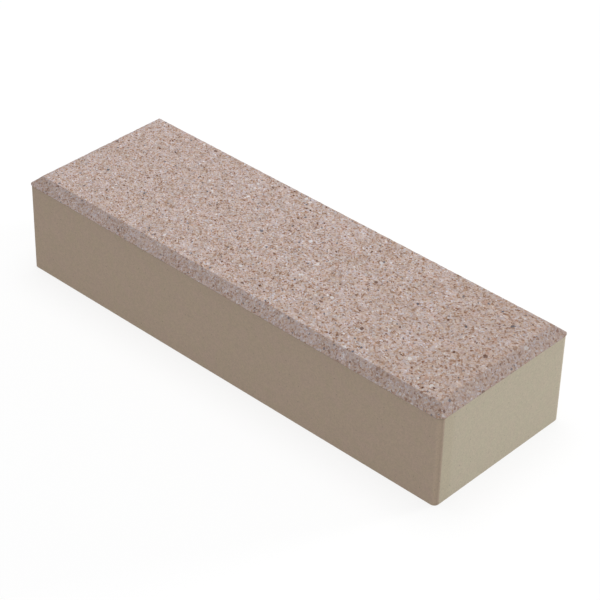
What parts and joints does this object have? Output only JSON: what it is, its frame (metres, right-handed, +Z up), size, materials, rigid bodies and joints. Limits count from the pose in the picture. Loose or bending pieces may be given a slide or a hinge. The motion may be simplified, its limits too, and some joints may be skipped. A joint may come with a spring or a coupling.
{
  "type": "rectangular concrete paver",
  "caption": "Long rectangular concrete paving block with a bevelled, grit-textured wearing face, smooth upright sides and a flat bed face, for laying paths and terraces.",
  "frame": {"origin": "middle of the bed face, on the surface that the paver lies on", "axes": "+X along the length, +Y across the width, +Z up to the wearing face"},
  "size_m": [0.3, 0.1, 0.06],
  "materials": {
    "concrete": "fine pinkish granite grit laid bare on the wearing face and its bevel, smooth beige cement skin with fine pores on the sides and the bed face"
  },
  "bodies": {
    "root": {"paver": "concrete"}
  },
  "joints": []
}
